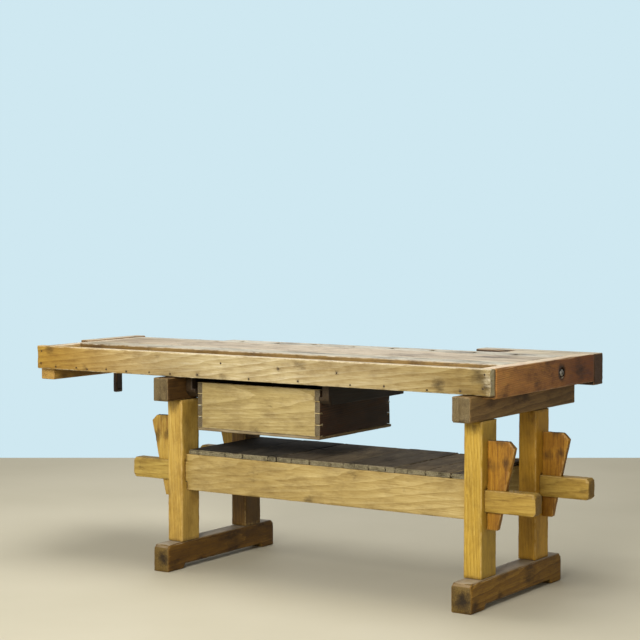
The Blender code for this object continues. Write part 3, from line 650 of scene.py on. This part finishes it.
# Dark rings round each bolt: partly rust and grease on the wood, partly painted shade in its bored
# recess.
BOLT_RINGS = {"left_end_cap": (0, 0.337, 0.647, 0.042, 2.2),
              "right_end_cap": (1, 0.652, 0.512, 0.042, 2.2)}
CAP_ENDS = {"left_end_cap": ("8a6a30", "b89248", "d2b066"),
            "right_end_cap": ("4a3620", "6b5030", "856742")}
for node, tones in CAP_TONES.items():
    low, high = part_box(node)
    # Varnished beech: red brown with a low shine, its top pale, partly scrubbed and partly a
    # painted sheen.
    beech = timber(f"varnished_beech_{node}", node, ALONG_Y, tones,
                   CAP_ENDS[node], "7d6048", "b38c58", grime=0.7, ring=0.006,
                   pith=(0.05, 0.02), tilt=(0.4, 0.1), rough=(0.34, 0.58),
                   drift=((1, low.y, high.y, "a68a70"),),
                   topping=("d8c8aa", 0.9))
    worn(node, "bench", beech, ALONG_Y, (0.014, 0.012), dent=0.0020, bite=0.0016,
         spots=((1, 0.85, 0.5, 0.08, 0.8), (1, 0.1, 0.1, 0.06, 0.8), (0.6, 0.5, 1, 0.1, 0.8),
                (1, 0.4, 0.3, 0.06, 0.6), BOLT_RINGS[node]))


# ---- bolts, nuts and dowels --------------------------------------------------------------
# Forged iron bolts with low round heads sunk in bored recesses, their square nuts let in
# from below. Two beech dowels keep the loose top from sliding on the bearers.
BOLT_IRON = iron("forged_bolt", "24211d", "b5b1a8", 0.30)
for bolt in ("left_cap", "right_cap", "arm"):
    for part in ("bolt", "nut"):
        worn(f"{bolt}_{part}", "bench", BOLT_IRON, ALONG_X, (1.0, 1.0), dent=0.0002,
             bite=0)
for side in ("left", "right"):
    node = f"{side}_locating_pin"
    # Turned beech, plain and pale, seen only where the top is lifted.
    beech = timber(f"dowel_beech_{side}", node, ALONG_Z, ("8b6a35", "ab8a52", "c4a66d"),
                   DARK_ENDS, GREASE, RUBBED, ring=0.004)
    worn(node, "bench", beech, ALONG_Z, (0.010, 0.5), dent=0.0003, bite=0)


# ---- drawer ------------------------------------------------------------------------------
# A pine box with through dovetails at its four corners and a floor board nailed on from
# below. The front is pale and dry; the sides and back are nearly black with grease.
BLACKENED = ("33261a", "4a3828", "604b36")
DRAWER_WOOD = (
    # node, grain, deep to pale tones, dirt, slot, grime
    ("drawer_front", ALONG_X, ("8c7746", "b09c66", "c4b282"), GREASE, "pale_pine", 0.55),
    ("drawer_back", ALONG_X, ("3a2c1e", "564330", "6e5840"), "6b5140", "dark_pine", 0.6),
    ("drawer_left_side", ALONG_Y, BLACKENED, "6b5140", "dark_pine", 0.6),
    ("drawer_right_side", ALONG_Y, ("24160b", "402815", "5c3e23"), "6b5140", "dark_pine", .6),
    ("drawer_bottom", ALONG_X, ("6f6146", "958565", "b0a283"), GREASE, "pale_pine", 0.6),
    ("drawer_left_cleat", ALONG_Y, BLACKENED, "6b5140", "dark_pine", 0.6),
    ("drawer_right_cleat", ALONG_Y, BLACKENED, "6b5140", "dark_pine", 0.6),
)
for node, grain, tones, dirt, slot, grime in DRAWER_WOOD:
    front = node == "drawer_front"
    # Planed pine: dry and pale in front, dark and greasy behind, with grey dovetail ends.
    pine = timber(f"pine_{node}", node, grain, tones,
                  ("4c412e", "655a44", "837860") if "side" in node else
                  ("5a4a30", "86724a", "a8946a"), dirt, "d3c7a4" if front else "75614a",
                  grime=grime, ring=0.008 if front else 0.006, figure=0.2 if front else 0.25,
                  tilt=(0.22, 0.30) if front else (0.2, 0.1),
                  pith=(0.050, 0.012) if front else (0.05, 0.03), rough=(0.5, 0.72))
    # Two small knots near the middle of the front, and dirt where fingers pull it.
    spots = ((0.60, 0, 0.60, 0.010, 1.0), (0.64, 0, 0.52, 0.009, 1.0),
             (0.5, 0, 0, 0.03, 0.7), (0.98, 0, 0.8, 0.03, 0.7)) if front else ()
    cleat = "cleat" in node
    worn(node, "drawer", pine, grain, (0.012, 0.5 if cleat else 0.010), dent=0.0008,
         bite=0.0004 if cleat else 0.0008, spots=spots)
low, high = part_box("drawer_bottom")
wall = 0.010                     # the floor's nails stand half a wall in from its edges
across = [low.x + wall + (high.x - low.x - 2 * wall) * i / 6 for i in range(7)]
places = [(x, y, low.z + PUNCHED) for x in across for y in (low.y + wall, high.y - 0.024)]
nails("drawer_floor_nails", "drawer", places, (0, 0, -1), radius=0.0032)


# ---- drawer runners ----------------------------------------------------------------------
# Rebated beech rails screwed up under the slab; the drawer's side cleats slide on their
# lips. Round-headed iron screws hold each rail in three places.
for side in ("left", "right"):
    node = f"drawer_{side}_runner"
    # Beech, painted near black: painted shade under the slab and beside the drawer.
    beech = timber(f"runner_beech_{side}", node, ALONG_Y, ("120b06", "20150c", "332417"),
                   ("261b0e", "382915", "4b3a20"), GREASE, "33261a", grime=0.5, ring=0.006)
    worn(node, "bench", beech, ALONG_Y, (0.020, 0.5), dent=0.0006, bite=0.0006)
    low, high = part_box(node)
    x = (low.x + high.x) / 2 + (-0.004 if side == "left" else 0.004)
    places = [(x, low.y + share * (high.y - low.y), low.z + PUNCHED)
              for share in (0.15, 0.5, 0.88)]
    nails(f"{side}_runner_screws", "bench", places, (0, 0, -1), radius=0.0052, rise=0.0014)


# ---- vise screws -------------------------------------------------------------------------
# Turned hornbeam screws with a coarse V thread chased by hand, and a fat drum head with a
# mortise for the sliding bar. Tallow and hands have blackened them to a dull sheen.
SCREW_TONES = ("261c14", "3a2c20", "54402d")
CREST, ROOT = 0.0180, 0.0146     # the thread's outer and inner radius
PITCH = 0.012                    # from one turn of the thread to the next
GREASY_ENDS = ("2e231a", "4a3a2a", "665239")


def thread_tree():
    """One V thread wound round an axis as a helix, swept from a three-cornered profile."""
    tree, given = new_shape_tree("wooden_thread", Turns="Float", Length="Float",
                                 Root_Radius="Float", Depth="Float", Place="Vector",
                                 Turned="Rotation")
    helix = add_node(tree, "GeometryNodeCurveSpiral", {
        "Resolution": 20, "Rotations": given["Turns"], "Start Radius": given["Root Radius"],
        "End Radius": given["Root Radius"], "Height": given["Length"]})
    tilted = add_node(tree, "GeometryNodeSetCurveNormal", {"Curve": helix.outputs[0]},
                      mode="Z_UP")
    ridge = add_node(tree, "GeometryNodeCurvePrimitiveCircle", {
        "Resolution": 3, "Radius": given["Depth"]})
    swept = add_node(tree, "GeometryNodeCurveToMesh", {
        "Curve": tilted.outputs[0], "Profile Curve": ridge.outputs["Curve"],
        "Fill Caps": True})
    placed = add_node(tree, "GeometryNodeTransform", {
        "Geometry": swept.outputs[0], "Translation": given["Place"],
        "Rotation": given["Turned"]})
    return finish_shape_tree(tree, placed, given)


THREAD = thread_tree()


def vise_screw(vise, axis, outward, thread_share):
    """Waste the plain shank of a CAD screw down to the thread's root and wind the thread on."""
    node, body = f"{vise}_vise_screw", f"{vise}_screw"
    low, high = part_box(node)
    middle = (low + high) / 2
    # Greased hornbeam: close grained, nearly black, with a dull shine.
    hornbeam = timber(f"hornbeam_{vise}_screw", node, axis, SCREW_TONES, GREASY_ENDS,
                      "7a6048", "6b543a", grime=0.5, ring=0.005, rough=(0.32, 0.5))
    piece = worn(node, body, hornbeam, axis, (0.012, 1.0), dent=0.0005, bite=0)
    length = (high[axis] - low[axis]) * thread_share
    start = low[axis] if outward > 0 else high[axis]
    shank = ROOT / CREST
    for v in piece.data.vertices:
        run = (v.co[axis] - start) * outward
        if 0.002 < run < length + 0.004:
            off = v.co - middle
            for i in range(3):
                if i != axis:
                    v.co[i] = middle[i] + off[i] * shank
    turns = math.floor((length - PITCH) / PITCH)
    place = middle.copy()
    place[axis] = start + outward * 0.007
    facing = Vector([float(i == axis) * outward for i in range(3)])
    turned = facing.to_track_quat("Z", "Y").to_euler()
    grown(f"{vise}_screw_thread", body, THREAD,
          bpy.data.meshes.new(f"{vise}_thread_start"), {
              "Turns": float(turns), "Length": turns * PITCH, "Root Radius": ROOT - 0.0004,
              "Depth": CREST - ROOT, "Place": place, "Turned": turned, "Finish": hornbeam})


vise_screw("shoulder", ALONG_Y, 1, 0.56)
vise_screw("tail", ALONG_X, -1, 0.70)


# ---- sliding bars ------------------------------------------------------------------------
# Flat ash bars that slide in the screw heads, planed by hand with rounded edges. A whittled
# peg through each end stops the bar from dropping out.
def peg(name, body, middle, axis, length, radius, finish):
    """A whittled peg: eight-sided, thicker in the middle, with rounded ends."""
    shape = bmesh.new()
    rings = []
    for share, girth in ((-0.5, 0.45), (-0.46, 0.8), (-0.2, 0.95), (0.2, 1.0), (0.47, 0.85),
                         (0.5, 0.5)):
        ring = []
        for i in range(8):
            turn = math.pi * (i + 0.5) / 4
            at = Vector((math.cos(turn), math.sin(turn))) * radius * girth
            spot = Vector(middle)
            spot[axis] += share * length
            spot[(axis + 1) % 3] += at.x
            spot[(axis + 2) % 3] += at.y
            ring.append(shape.verts.new(spot))
        rings.append(ring)
    for lower, upper in zip(rings, rings[1:]):
        for i in range(8):
            shape.faces.new((lower[i], lower[(i + 1) % 8], upper[(i + 1) % 8], upper[i]))
    shape.faces.new(rings[0][::-1])
    shape.faces.new(rings[-1])
    bmesh.ops.recalc_face_normals(shape, faces=shape.faces)
    mesh = bpy.data.meshes.new(name)
    shape.to_mesh(mesh)
    shape.free()
    mesh.materials.append(finish)
    stand(name, mesh, body)


for vise, grain, through in (("shoulder", ALONG_X, ALONG_Y), ("tail", ALONG_Z, ALONG_X)):
    node, body = f"{vise}_vise_handle", f"{vise}_handle"
    # Ash handled for years: as black as the screws, polished by palms.
    ash = timber(f"ash_{vise}_bar", node, grain, SCREW_TONES, GREASY_ENDS, "7a6048",
                 "6b543a", grime=0.5, ring=0.006, rough=(0.34, 0.55))
    worn(node, body, ash, grain, (0.012, 0.008), dent=0.0012, bite=0.0014)
    low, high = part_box(node)
    for end, inset in (("first", low[grain] + 0.013), ("second", high[grain] - 0.013)):
        middle = (low + high) / 2
        middle[grain] = inset
        peg(f"{vise}_bar_{end}_peg", body, middle, through, 0.036, 0.0042, ash)


# ---- shoulder vise -----------------------------------------------------------------------
# A thick beech arm, spaced off the slab and bolted through it, holds the screw's thread.
# The loose jaw slides along the slab's edge. Arm nearly black, jaw still honey brown.
SHOULDER_WOOD = (
    # node, body, grain, deep to pale tones, slot, (end grain, dirt, rubbed arris, grime)
    ("shoulder_vise_arm", "bench", ALONG_X, ("33271c", "4a3927", "64503a"), "dark_block",
     (("33241a", "523a29", "73553b"), "7a6048", "94704a", 0.6)),
    ("shoulder_vise_spacer", "bench", ALONG_X, ("7b6748", "a18c6b", "bdaa88"), "worn_top",
     (("4a3a24", "6f5a3b", "8f7850"), GREASE, "cdbd9c", 0.6)),
    ("shoulder_vise_jaw", "shoulder_jaw", ALONG_X, ("7f5f2f", "a58147", "bf9c60"),
     "honey_beech", (DARK_ENDS, GREASE, RUBBED, 0.5)),
)
for node, body, grain, tones, slot, (ends, dirt, rub, grime) in SHOULDER_WOOD:
    # Beech: black with grease on the arm, tan on the spacer, honey brown on the jaw.
    beech = timber(f"beech_{node}", node, grain, tones, ends, dirt, rub, grime=grime,
                   topping=("c4b9a0", 0.85))
    worn(node, body, beech, grain, (0.012, 0.012), dent=0.0022, bite=0.0018,
         spots=((0.7, 0.5, 1, 0.1, 0.8), (0.2, 1, 0.5, 0.07, 0.8)))


# ---- tail vise ---------------------------------------------------------------------------
# A sliding beech box at the slab's left end: jaw, cheek and cover joined to a cross piece,
# guided by a rail under the slab. Its top is bleached and its end cap varnished brown.
TAIL_WOOD = (
    # node, body, grain, deep to pale tones, slot, grime
    ("tail_vise_jaw", "tail_vise", ALONG_X, TOP_TONES["slab_dog_plank"], "worn_top", 0.6),
    ("tail_vise_cheek", "tail_vise", ALONG_X, ("7d6b4b", "a5916c", "c0ad88"), "worn_top",
     0.55),
    ("tail_vise_cover", "tail_vise", ALONG_X, TOP_TONES["slab_dog_plank"], "worn_top", 0.6),
    ("tail_vise_cross_piece", "tail_vise", ALONG_Y, ("5f4022", "7f5c34", "9a7749"),
     "aged_cap", 0.6),
    ("tail_vise_rail", "tail_vise", ALONG_X, ("85652f", "a68346", "bf9e62"), "honey_beech",
     0.5),
    ("tail_vise_keeper", "bench", ALONG_Y, ("85652f", "a68346", "bf9e62"), "honey_beech",
     0.5),
)
for node, body, grain, tones, slot, grime in TAIL_WOOD:
    # Beech: bleached and dry on top, with the slab's painted sheen on jaw and cover, browner on its
    # sides, varnished on the cross piece.
    beech = timber(f"beech_{node}", node, grain, tones, ("4a3620", "6f5532", "8c7046"),
                   GREASE, "cdb78c" if slot != "aged_cap" else "ab8454", grime=grime,
                   topping=("c4b9a0", 0.85 if slot == "aged_cap" else 0.3))
    worn(node, body, beech, grain, (0.014, 0.012), dent=0.0016, bite=0.0014,
         spots=((0.4, 0.5, 1, 0.09, 0.6), (0.9, 0.8, 0.9, 0.06, 0.7)))


# ---- bench dogs --------------------------------------------------------------------------
# Square beech pegs that stand up out of the slab and the tail vise to hold the work, their
# tops bruised by boards and mallet.
for node, body in (("slab_dog", "slab_dog"), ("tail_vise_dog", "tail_dog")):
    # Beech end grain up, browned by handling, with bright bruised corners.
    beech = timber(f"dog_beech_{node}", node, ALONG_Z, ("7c5b2a", "9f7b42", "b9985e"),
                   ("5a4526", "83693f", "a38a5a"), GREASE, "c9ab74", grime=0.5, ring=0.005)
    worn(node, body, beech, ALONG_Z, (0.012, 0.008), dent=0.0009, bite=0.0009)


# ---- the room ----------------------------------------------------------------------------
# A plain pale floor under a pale blue white surround, with soft studio light from the
# front and above. None of it belongs to the bench.
CAMERA_PLACE = Vector((3.7795, -5.688, 1.336))
CAMERA_AIM = Vector((-0.5501, 0.8331, -0.0578))
CAMERA_LENS = 99.03              # millimetres, on a 36 mm wide sensor
FLOOR_REACH = 2.94               # how far the floor runs behind the bench's middle
FLOOR_HALF = 4.5                 # half its width

# Painted concrete: pale, even and quite matt, so that only the bench's shadow shows on it.
concrete, tree = new_material("pale_floor")
coords = add_node(tree, "ShaderNodeTexCoord")
cloud = add_node(tree, "ShaderNodeTexNoise", {
    "Vector": coords.outputs["Object"], "Scale": 1.4, "Detail": 6.0})
shade = add_node(tree, "ShaderNodeValToRGB", {0: cloud.outputs[0]},
                 [(0.3, "c2bca6"), (0.7, "c8c2ad")])
shader = add_node(tree, "ShaderNodeBsdfPrincipled", {
    "Base Color": shade.outputs[0], "Roughness": 0.75})
add_node(tree, "ShaderNodeOutputMaterial", {0: shader.outputs[0]})
back = Vector((CAMERA_AIM.x, CAMERA_AIM.y, 0)).normalized()
aside = Vector((back.y, -back.x, 0))
floor = bpy.data.meshes.new("floor")
floor.from_pydata([back * FLOOR_REACH * b + aside * FLOOR_HALF * a - Vector((0, 0, 0.0002))
                   for a, b in ((-1, -1.6), (1, -1.6), (1, 1), (-1, 1))], [], [(0, 1, 2, 3)])
floor.materials.append(concrete)
floor = bpy.data.objects.new("floor", floor)
bpy.context.collection.objects.link(floor)
floor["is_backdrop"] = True


def softbox(name, place, size, watts, tint):
    """A square studio softbox aimed at the middle of the bench."""
    lamp = bpy.data.lights.new(name, "AREA")
    lamp.shape, lamp.size, lamp.energy, lamp.color = "SQUARE", size, watts, tint
    lamp = bpy.data.objects.new(name, lamp)
    lamp.location = place
    aim = Vector((0, 0, 0.5)) - Vector(place)
    lamp.rotation_euler = aim.to_track_quat("-Z", "Y").to_euler()
    lamp.visible_camera = False
    bpy.context.collection.objects.link(lamp)


softbox("key_light", (1.3, -5.6, 3.0), 2.2, 310, (1.0, 0.97, 0.91))
softbox("top_light", (-0.4, 0.2, 4.2), 2.4, 105, (1.0, 0.99, 0.97))
softbox("wall_light", (-3.4, 5.2, 2.2), 3.6, 42, (0.95, 0.98, 1.0))
softbox("left_fill", (-5.0, -3.0, 2.0), 3.0, 35, (1.0, 0.98, 0.95))

world = bpy.data.worlds.new("room")
world.use_nodes = True
tree = world.node_tree
tree.nodes.clear()
path = add_node(tree, "ShaderNodeLightPath")
seen = add_node(tree, "ShaderNodeBackground", {"Color": colour("cfe8f1"), "Strength": 1.0})
lit = add_node(tree, "ShaderNodeBackground", {"Color": colour("f3f1ea"), "Strength": 0.32})
both = add_node(tree, "ShaderNodeMixShader", {
    0: path.outputs["Is Camera Ray"], 1: lit.outputs[0], 2: seen.outputs[0]})
add_node(tree, "ShaderNodeOutputWorld", {0: both.outputs[0]})
bpy.context.scene.world = world
bpy.context.scene.view_settings.view_transform = "Standard"

lens = bpy.data.cameras.new("camera")
lens.lens, lens.sensor_width = CAMERA_LENS, 36.0
camera = bpy.data.objects.new("camera", lens)
camera.location = CAMERA_PLACE
camera.rotation_mode = "QUATERNION"
camera.rotation_quaternion = CAMERA_AIM.to_track_quat("-Z", "Y")
bpy.context.collection.objects.link(camera)
bpy.context.scene.camera = camera

low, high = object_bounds()
